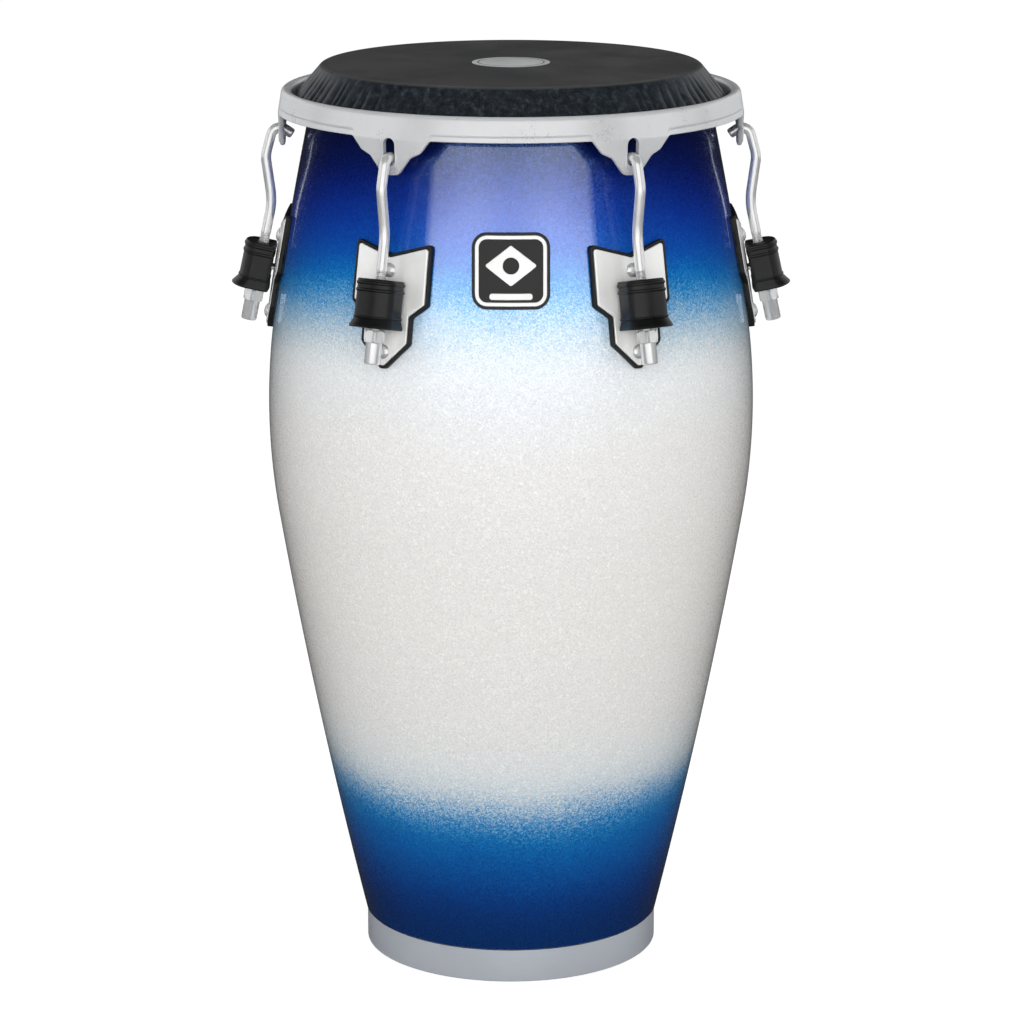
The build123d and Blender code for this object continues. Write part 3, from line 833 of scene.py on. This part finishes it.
def bent_path(corners, radii, spacing=1.5):
    """Points along a line of (R, Z) corners with each corner bent to a radius."""
    outline = [(corners[0][0], corners[0][1])]
    for before, corner, after, radius in zip(corners, corners[1:], corners[2:], radii):
        corner = Vector(corner)
        back = (Vector(before) - corner).normalized()
        ahead = (Vector(after) - corner).normalized()
        half = back.angle(ahead) / 2
        centre = corner + (back + ahead).normalized() * (radius / sin(half))
        entry = corner + back * (radius / tan(half))
        leave = corner + ahead * (radius / tan(half))
        sweep = (entry - centre).angle_signed(leave - centre)
        steps = max(4, int(abs(sweep) * radius / spacing))
        for step in range(steps + 1):
            angle = -sweep * step / steps
            arm = entry - centre
            outline.append((
                centre.x + arm.x * cos(angle) - arm.y * sin(angle),
                centre.y + arm.x * sin(angle) + arm.y * cos(angle),
            ))
    outline.append(corners[-1])
    return outline


THREAD_START = -8.0
THREAD_PITCH = 1.25
ROD_END = 66.0


def rod_point(down):
    """A point on the rod's axis, as (R, Z)."""
    place = rod_place(0, 0, down)
    return (place[0], place[2])


def make_hook():
    corners = [(181.5, 701.8), (196.7, 712.3), (204.4, 684.0), rod_point(-35.0), rod_point(THREAD_START)]
    line = bent_path(corners, (8.0, 25.0, 60.0))
    path = [(x, 0.0, z) for x, z in line]
    sizes = [ROD_RADIUS] * len(path)
    tip = Vector(path[0])
    ahead = (Vector(path[1]) - tip).normalized()
    rounded_tip = [tuple(tip + ahead * d) for d in (0.0, 0.35, 0.9, 1.6)]
    path = rounded_tip + path[1:]
    sizes = [ROD_RADIUS - 1.6, ROD_RADIUS - 0.75, ROD_RADIUS - 0.2, ROD_RADIUS] + sizes[1:]
    smooth = tube(path, sizes, 28)
    # Threaded length: rings of a fine helical ridge
    sides = 24
    per_turn = 5
    turns = int((ROD_END - THREAD_START) / THREAD_PITCH)
    rows = turns * per_turn + 1
    points = []
    for row in range(rows):
        down = THREAD_START - 0.01 + row * THREAD_PITCH / per_turn
        for side in range(sides):
            angle = 2 * pi * side / sides
            phase = (row / per_turn - side / sides) % 1.0
            ridge = abs(2 * phase - 1)
            fade = min(1.0, row / (2.0 * per_turn), (rows - 1 - row) / (1.5 * per_turn) + 0.35)
            reach = ROD_RADIUS - 0.02 - 0.62 * fade * (1 - ridge)
            points.append(rod_place(reach * cos(angle), reach * sin(angle), down))
    faces = ring_faces(rows, sides, False, True)
    faces.append(tuple(range(sides)))
    faces.append(tuple(range(len(points) - 1, len(points) - sides - 1, -1)))
    return merge([smooth, (points, faces)])


hook_points, hook_faces = make_hook()
for number, turn in lug_turns():
    add_piece("hook_rod_%d" % number, hook_points, hook_faces, "hook_%d" % number, [CHROME],
              ["tension_hook_%d" % number], turn=turn)

# ------------------------------------------------------------------ bushings


def bushing_outline(depth, half_width, count=72):
    """D-shaped outline, evenly spaced by arc length, with softly rounded corners."""
    inner = -10.5
    outer = inner + depth
    shoulder = outer - half_width * 0.45
    corners = [(inner, -half_width, 2.0), (shoulder - 1, -half_width, 3.5)]
    bow = []
    for share in np.linspace(-0.86, 0.86, 15):
        bow.append((shoulder + (outer - shoulder) * (1 - share ** 2) ** 0.75, half_width * share, 0))
    corners += bow + [(shoulder - 1, half_width, 3.5), (inner, half_width, 2.0)]
    line = np.array(rounded_outline(corners, 5))
    closed = np.vstack([line, line[:1]])
    lengths = np.concatenate([[0], np.cumsum(np.hypot(*np.diff(closed, axis=0).T))])
    even = np.arange(count) * lengths[-1] / count
    return np.c_[np.interp(even, lengths, closed[:, 0]), np.interp(even, lengths, closed[:, 1])]


# (depth below the top, growth all round, outward flare)
BUSHING_STATIONS = (
    (0.0, -1.1, 0.0), (0.25, -0.5, 0.0), (0.9, 0.0, 0.0), (1.9, 0.0, 0.0), (2.2, 0.55, 0.0), (2.9, 0.85, 0.0),
    (3.7, 0.85, 0.0), (4.4, 0.5, 0.0), (4.7, 0.0, 0.0), (7.6, 0.0, 0.0), (7.9, 0.55, 0.0), (8.6, 0.85, 0.0),
    (9.4, 0.85, 0.0), (10.1, 0.5, 0.0), (10.4, 0.0, 0.0), (16.0, 0.05, 0.0), (24.0, 0.15, 0.0),
    (29.4, 0.2, 0.0), (29.6, 0.7, 0.0), (30.0, 0.95, 0.0), (30.6, 0.95, 0.0), (31.0, 0.6, 0.0),
    (31.2, 0.25, 0.1), (32.2, 0.5, 0.5), (34.0, 0.9, 1.4), (36.0, 1.3, 2.5), (37.4, 1.6, 3.3),
    (38.2, 1.6, 3.5), (38.7, 1.3, 3.4), (39.0, 0.7, 3.0),
)


def make_bushing():
    count = 72
    base = bushing_outline(25.5, 17.0, count)
    rows = []
    inward = base - np.array([2.0, 0.0])
    inward /= np.linalg.norm(inward, axis=1)[:, None]
    for down, grow, flare in BUSHING_STATIONS:
        ring = base + inward * grow
        out = np.clip((base[:, 0] + 10.5) / 25.5, 0, 1)
        ring[:, 0] += flare * out
        ring[:, 1] *= 1 + flare * 0.012
        rows.append([rod_place(x, y, down) for x, y in ring])
    angles = np.arctan2(base[:, 1], base[:, 0])
    bore = ROD_RADIUS + 0.25

    def bore_row(radius, down):
        return [rod_place(radius * cos(a), radius * sin(a), down) for a in angles]

    top = [bore_row(bore + 0.9, 0.0), bore_row(bore, 0.7), bore_row(bore, 6.0)]
    low = [bore_row(bore + 0.8, BUSHING_HEIGHT), bore_row(bore, BUSHING_HEIGHT - 0.7)]
    rows = top[::-1] + rows + low
    points = [p for row in rows for p in row]
    faces = ring_faces(len(rows), count, True, True)
    return points, faces


bushing_points, bushing_faces = make_bushing()
for number, turn in lug_turns():
    add_piece("bushing_block_%d" % number, bushing_points, bushing_faces, "shell", [PLASTIC],
              ["bushing_%d" % number], turn=turn, sharp=42.0)

# ------------------------------------------------------------------ tuning nuts


def hexagon_reach(angle, across, limit):
    sector_angle = (angle + pi / 6) % (pi / 3) - pi / 6
    return min(across / 2 / cos(sector_angle), limit)


def make_nut():
    count = 96
    top = BUSHING_HEIGHT + WASHER
    corner = 16.0 / sqrt(3)
    stations = [
        (0.0, 7.6, 0), (0.25, corner - 0.9, 1), (0.8, corner - 0.15, 1), (9.2, corner - 0.15, 1),
        (9.75, corner - 0.9, 1), (10.0, 7.4, 0), (10.1, 6.62, 0), (10.5, 6.5, 0), (25.9, 6.5, 0),
        (26.6, 6.25, 0), (27.0, 5.7, 0), (27.0, 5.0, 0), (26.5, 4.55, 0),
        (18.0, 4.5, 0), (2.0, 4.5, 0), (0.0, 4.8, 0),
    ]
    points = []
    for down, reach, hexagonal in stations:
        for index in range(count):
            angle = 2 * pi * index / count
            here = hexagon_reach(angle, 16.0, reach) if hexagonal else reach
            points.append(rod_place(here * cos(angle), here * sin(angle), top + down))
    return points, ring_faces(len(stations), count, True, True)


nut_points, nut_faces = make_nut()
for number, turn in lug_turns():
    add_piece("nut_%d_turned" % number, nut_points, nut_faces, "nut_%d" % number, [CHROME],
              ["tuning_nut_%d" % number], turn=turn, sharp=25.0)

# ------------------------------------------------------------------ plates, gaskets and badge: shaped sheets


def sheet_mesh(name, outlines, thickness, edge, spacing_y, spacing_z):
    """A flat sheet with softened edges from closed (sideways, height) outlines, cut fine enough to bend."""
    curve = bpy.data.curves.new(name, "CURVE")
    curve.dimensions = "2D"
    curve.fill_mode = "BOTH"
    curve.extrude = (thickness / 2 - edge) * MM
    curve.bevel_depth = edge * MM
    curve.bevel_resolution = 2
    curve.offset = -edge * MM
    for outline in outlines:
        spline = curve.splines.new("POLY")
        spline.points.add(len(outline) - 1)
        for point, (y, z) in zip(spline.points, outline):
            point.co = (y * MM, z * MM, 0.0, 1.0)
        spline.use_cyclic_u = True
    holder = bpy.data.objects.new(name, curve)
    bpy.context.scene.collection.objects.link(holder)
    bpy.context.view_layer.update()
    mesh = bpy.data.meshes.new_from_object(holder.evaluated_get(bpy.context.evaluated_depsgraph_get()))
    bpy.data.objects.remove(holder)
    bpy.data.curves.remove(curve)
    work = bmesh.new()
    work.from_mesh(mesh)
    bmesh.ops.remove_doubles(work, verts=work.verts, dist=1e-6)
    for axis, step in ((0, spacing_y), (1, spacing_z)):
        values = [v.co[axis] for v in work.verts]
        low, high = min(values), max(values)
        cuts = int((high - low) / (step * MM))
        for index in range(1, cuts + 1):
            place = [0.0, 0.0, 0.0]
            place[axis] = low + (high - low) * index / (cuts + 1)
            normal = [0.0, 0.0, 0.0]
            normal[axis] = 1.0
            everything = list(work.verts) + list(work.edges) + list(work.faces)
            bmesh.ops.bisect_plane(work, geom=everything, plane_co=place, plane_no=normal, dist=1e-7)
    work.to_mesh(mesh)
    work.free()
    return mesh


def bend_on_wall(mesh, inner, thickness, crown=None):
    """Lay a flat sheet on the shell at the +X side: sideways, height and depth become places."""
    for vertex in mesh.vertices:
        y = vertex.co.x / MM
        z = vertex.co.y / MM
        depth = vertex.co.z / MM + thickness / 2
        lift = wall_lift(z)
        extra = crown(y, z) if crown else 0.0
        offset = inner + depth + extra
        reach = wall_radius(z) + offset * cos(lift)
        vertex.co = (sqrt(reach ** 2 - y ** 2) * MM, y * MM, (z + offset * sin(lift)) * MM)


# Corners of one half of the plate, as (sideways, up from the plate's top, corner radius)
PLATE_HALF = (
    (0.0, -10.0, 3.0), (34.7, 0.0, 3.2), (35.2, -49.0, 3.0),
    (22.5, -59.0, 3.0), (22.5, -80.0, 4.0), (2.5, -100.0, 3.0),
)


def plate_outline(inset):
    """Notched shield outline, drawn in by inset on every side."""
    half = [(x, PLATE_TOP + z, r) for x, z, r in PLATE_HALF]
    corners = half + [(-x, z, r) for x, z, r in half[:0:-1]]
    if inset:
        moved = []
        count = len(corners)
        for index in range(count):
            here = Vector(corners[index][:2])
            before = (here - Vector(corners[index - 1][:2])).normalized()
            after = (Vector(corners[(index + 1) % count][:2]) - here).normalized()
            normal_a = Vector((before.y, -before.x))
            normal_b = Vector((after.y, -after.x))
            shift = (normal_a + normal_b) * (inset / (1 + normal_a.dot(normal_b)))
            moved.append((here.x + shift.x, here.y + shift.y, max(corners[index][2] - 0.8, 1.2)))
        corners = moved
    return rounded_outline(corners, 6)


def plate_crown(y, z):
    """The plate is folded along its middle, so the fold stands a little proud."""
    return 0.9 * max(0.0, 1 - abs(y) / 14.0) ** 1.3 - 0.25 * min(1.0, abs(y) / 33.0)


def join_sheets(layers):
    """Several bent sheets as one mesh; each layer is (outlines, thickness, edge radius, start offset)."""
    work = bmesh.new()
    for outlines, thickness, edge, start in layers:
        flat_mesh = sheet_mesh("layer", outlines, thickness, edge, 3.0, 7.0)
        bend_on_wall(flat_mesh, start, thickness)
        work.from_mesh(flat_mesh)
    mesh = bpy.data.meshes.new("layers")
    work.to_mesh(mesh)
    work.free()
    return mesh


def place_sheet(name, mesh, body, materials, replaces, turn):
    copy = mesh.copy()
    copy.transform(Matrix.Rotation(turn, 4, "Z"))
    return finish_piece(name, copy, body, materials, replaces, sharp=50.0)


def shelf_block():
    """Bracket that reaches from the plate into the bushing."""
    low, high = -13.0, -8.0
    half = 7.5
    outline = rounded_outline([(low, -half, 0.6), (high, -half, 0.6), (high, half, 0.6), (low, half, 0.6)], 3)
    count = len(outline)
    points = []
    for down, shrink in ((18.0, 0.93), (18.4, 1.0), (20.6, 1.0), (21.0, 0.93)):
        for x, y in outline:
            points.append(rod_place(x, y * shrink, down))
    faces = ring_faces(4, count, False, True)
    faces.append(tuple(range(count)))
    faces.append(tuple(range(len(points) - 1, len(points) - count - 1, -1)))
    return points, faces


gasket_mesh = join_sheets([
    ([plate_outline(0)], GASKET - 0.1, 0.5, 0.05),
    ([plate_outline(0), plate_outline(LIP_WIDTH)], GASKET + LIP_HEIGHT - 0.1, 0.9, 0.05),
])
plate_mesh = sheet_mesh("plate", [plate_outline(2.6)], 2.4, 0.7, 2.0, 6.0)
bend_on_wall(plate_mesh, 3.0, 2.4, plate_crown)
shelf_points, shelf_faces = shelf_block()
for number, turn in lug_turns():
    place_sheet("gasket_pad_%d" % number, gasket_mesh, "shell", [RUBBER],
                ["plate_gasket_%d" % number], turn)
    place_sheet("lug_plate_%d" % number, plate_mesh, "shell", [CHROME_PLATE],
                ["side_plate_%d" % number], turn)
    add_piece("plate_shelf_%d" % number, shelf_points, shelf_faces, "shell", [ZINC], turn=turn)

# ------------------------------------------------------------------ screws


def make_dome(height):
    """A domed screw head seated on the plate, with its shank."""
    seat_z = height
    lift = wall_lift(seat_z)
    base = PLATE_OUTER + 0.35
    origin = Vector((wall_radius(seat_z) + base * cos(lift), 0, seat_z + base * sin(lift)))
    out = Vector((cos(lift), 0, sin(lift)))
    up = Vector((-sin(lift), 0, cos(lift)))
    side = Vector((0, 1, 0))
    profile = [(0.02, 3.2), (1.2, 3.13), (2.4, 2.9), (3.5, 2.5),
               (4.5, 1.95), (5.3, 1.3), (5.8, 0.75), (6.0, 0.3),
               (5.9, 0.0), (3.0, 0.0), (3.0, -21.8), (2.6, -22.4), (0.02, -22.4)]
    points = []
    sides = 40
    for reach, depth in profile:
        for step in range(sides):
            angle = 2 * pi * step / sides
            points.append(tuple(origin + out * depth + (up * cos(angle) + side * sin(angle)) * reach))
    faces = ring_faces(len(profile), sides, False, True)
    faces.append(tuple(range(sides)))
    faces.append(tuple(range(len(points) - 1, len(points) - sides - 1, -1)))
    return points, faces


domes = []
for height in SCREW_HEIGHTS:
    points, faces = make_dome(height)
    for number, turn in lug_turns():
        spun = [tuple(Matrix.Rotation(turn, 3, "Z") @ Vector(p)) for p in points]
        domes.append((spun, faces))
points, faces = merge(domes)
add_piece("dome_screws", points, faces, "shell", [CHROME], ["plate_screws"], sharp=40.0)

# ------------------------------------------------------------------ badge


def rounded_rectangle(width, height, corner, rise=0.0):
    half_w, half_h = width / 2, height / 2
    mid = BADGE_HEIGHT + rise
    return rounded_outline([
        (-half_w, mid - half_h, corner), (half_w, mid - half_h, corner),
        (half_w, mid + half_h, corner), (-half_w, mid + half_h, corner),
    ], 10)


def circle_outline(radius, rise, count=40):
    mid = BADGE_HEIGHT + rise
    return [(radius * cos(2 * pi * i / count), mid + radius * sin(2 * pi * i / count)) for i in range(count)]


FRONT = -pi / 2
backing_mesh = sheet_mesh("badge_back", [rounded_rectangle(62.0, 60.0, 12.0)], 1.5, 0.4, 3.0, 6.0)
bend_on_wall(backing_mesh, 0.05, 1.5)
place_sheet("badge_back", backing_mesh, "shell", [BADGE_BLACK], ["badge_backing"], FRONT)
lozenge = rounded_outline([
    (0, BADGE_HEIGHT + 20, 1.5), (21, BADGE_HEIGHT + 4, 1.5),
    (0, BADGE_HEIGHT - 12, 1.5), (-21, BADGE_HEIGHT + 4, 1.5),
], 4)
badge_shapes = (
    [rounded_rectangle(57.0, 55.0, 9.5), rounded_rectangle(51.0, 49.0, 6.5)],
    [lozenge, circle_outline(6.5, 4.0)],
    [rounded_rectangle(34.1, 5.0, 2.0, -20.0)],
)
face_mesh = join_sheets([(shapes, 1.6, 0.45, 1.6) for shapes in badge_shapes])
place_sheet("badge_front", face_mesh, "shell", [CHROME_PLATE], ["badge_face"], FRONT)

# ------------------------------------------------------------------ CAD nodes that stay

for node in ("flesh_hoop", "nut_washers", "screw_nuts", "screw_washers", "backing_plates"):
    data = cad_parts[node].data
    data.materials.clear()
    data.materials.append(ZINC)

# ------------------------------------------------------------------ stage, lights and camera


def make_floor():
    """A wide pale floor that reads as white paper, and gives only a little light back."""
    mesh = bpy.data.meshes.new("floor")
    size = 40.0
    corners = [(-size, -size, 0), (size, -size, 0), (size, size, 0), (-size, size, 0)]
    mesh.from_pydata(corners, [], [(0, 1, 2, 3)])
    floor = bpy.data.objects.new("floor", mesh)
    bpy.context.scene.collection.objects.link(floor)
    s = Shader("floor_pale")
    grain = s.noise(3.0, 4.0)
    rays = s.nodes.new("ShaderNodeLightPath")
    seen = rays.outputs["Is Camera Ray"]
    pale = s.ramp(grain, [(0.3, (0.64, 0.64, 0.64)), (0.7, (0.67, 0.67, 0.67))])
    pale = s.mix(rays.outputs["Is Glossy Ray"], pale, flat((0.05, 0.05, 0.05)))
    pale = s.mix(seen, pale, flat((0.25, 0.25, 0.25)))
    s.set(Base_Color=pale, Roughness=0.9, Specular_IOR_Level=0.0)
    s.set(Emission_Color=flat((1.0, 1.0, 1.0)), Emission_Strength=s.math("MULTIPLY", seen, 0.9))
    mesh.materials.append(s.material)


def make_world():
    """White behind the drum as the camera sees it, and a dim room in the reflections."""
    world = bpy.data.worlds.new("studio")
    world.use_nodes = True
    tree = NodeTree(world.node_tree)
    background = tree.nodes["Background"]
    background.inputs[0].default_value = (0.97, 0.985, 1.0, 1.0)
    rays = tree.nodes.new("ShaderNodeLightPath").outputs
    level = tree.math("MULTIPLY_ADD", rays["Is Camera Ray"], 1.0, 0.02)
    level = tree.math("MULTIPLY_ADD", rays["Is Diffuse Ray"], 0.42, level)
    tree.put(background.inputs[1], level)
    bpy.context.scene.world = world


def area_light(name, place, target, width, height, radiance, diffuse=True, glossy=True, only=None):
    """A soft rectangular light of a given brightness, seen by chosen rays and chosen pieces."""
    data = bpy.data.lights.new(name, "AREA")
    data.shape = "RECTANGLE"
    data.size = width
    data.size_y = height
    data.energy = radiance * width * height * pi
    light = bpy.data.objects.new(name, data)
    bpy.context.scene.collection.objects.link(light)
    light.location = place
    light.rotation_euler = (Vector(target) - Vector(place)).to_track_quat("-Z", "Y").to_euler()
    light.visible_diffuse = diffuse
    light.visible_glossy = glossy
    light.visible_camera = False
    if only:
        group = bpy.data.collections.new(name + "_receivers")
        for piece in only:
            group.objects.link(piece)
        light.light_linking.receiver_collection = group
    return light


# Brightness of the shell's highlight light, from its lower edge (0) to its upper edge (1)
BAND_PROFILE = (
    (0.0, 0.0), (0.1, 0.02), (0.2, 0.22), (0.32, 0.70), (0.46, 1.0),
    (0.62, 0.90), (0.76, 0.62), (0.86, 0.50), (1.0, 0.42),
)


def shape_band(light):
    """The light is brightest at mid height, fades above and below, and dips a little in its middle."""
    data = light.data
    data.use_nodes = True
    tree = NodeTree(data.node_tree)
    emission = next(node for node in tree.nodes if node.type == "EMISSION")
    across, upward = tree.split(tree.nodes.new("ShaderNodeNewGeometry").outputs["Parametric"])[:2]
    rise = tree.ramp(upward, [(position, (value, value, value)) for position, value in BAND_PROFILE])
    aside = tree.math("ABSOLUTE", tree.math("SUBTRACT", across, 0.5))
    dip = tree.span(aside, 0.0, 0.20, 0.78, 1.0, smooth=True)
    ends = tree.span(aside, 0.43, 0.50, 1.0, 0.25, smooth=True)
    tree.put(emission.inputs["Strength"], tree.math("MULTIPLY", tree.math("MULTIPLY", dip, ends), rise))


make_floor()
make_world()
area_light("front_fill", (0.0, -4.2, 1.5), (0.0, 0.0, 0.45), 4.6, 3.0, 2.48, glossy=False)
area_light("left_fill", (-3.8, -1.6, 1.1), (0.0, 0.0, 0.4), 2.6, 2.6, 1.9, glossy=False)
area_light("right_fill", (3.8, -1.6, 1.1), (0.0, 0.0, 0.4), 2.6, 2.6, 1.9, glossy=False)
area_light("overhead", (0.0, 0.3, 3.6), (0.0, 0.0, 0.0), 3.0, 3.0, 1.0, glossy=False)
band = area_light("band", (0.0, -4.6, 1.5), (0.0, 0.0, 1.5), 9.0, 1.1, 10.0, diffuse=False,
                  only=[shell_piece])
shape_band(band)
others = [piece for piece in bpy.context.scene.objects if piece.type == "MESH" and piece != shell_piece]
area_light("panel", (0.0, -4.6, 1.9), (0.0, 0.0, 0.7), 7.0, 3.6, 1.0, diffuse=False, only=others)
area_light("panel_low", (0.0, -1.9, 0.2), (0.0, 0.0, 0.6), 3.6, 0.8, 0.9, diffuse=False, only=others)
area_light("panel_left", (-4.4, -0.8, 1.6), (0.0, 0.0, 0.7), 4.2, 3.0, 0.65, diffuse=False, only=others)
area_light("panel_right", (4.4, -0.8, 1.6), (0.0, 0.0, 0.7), 4.2, 3.0, 0.65, diffuse=False, only=others)
area_light("back_left", (-3.0, 3.2, 1.4), (0.0, 0.0, 0.7), 4.4, 3.0, 0.75, diffuse=False, only=others)
area_light("back_right", (3.0, 3.2, 1.4), (0.0, 0.0, 0.7), 4.4, 3.0, 0.75, diffuse=False, only=others)

LENS = 136.3
CAMERA_PLACE = (0.0, -3.206, 1.166)
CAMERA_DROP = 13.806
camera_data = bpy.data.cameras.new("camera")
camera_data.sensor_width = 36.0
camera_data.lens = LENS
camera_data.shift_x = 0.001
camera_data.clip_end = 200.0
camera = bpy.data.objects.new("camera", camera_data)
bpy.context.scene.collection.objects.link(camera)
camera.location = CAMERA_PLACE
camera.rotation_euler = (radians(90.0 - CAMERA_DROP), 0.0, 0.0)
bpy.context.scene.camera = camera
bpy.context.scene.view_settings.view_transform = "Standard"
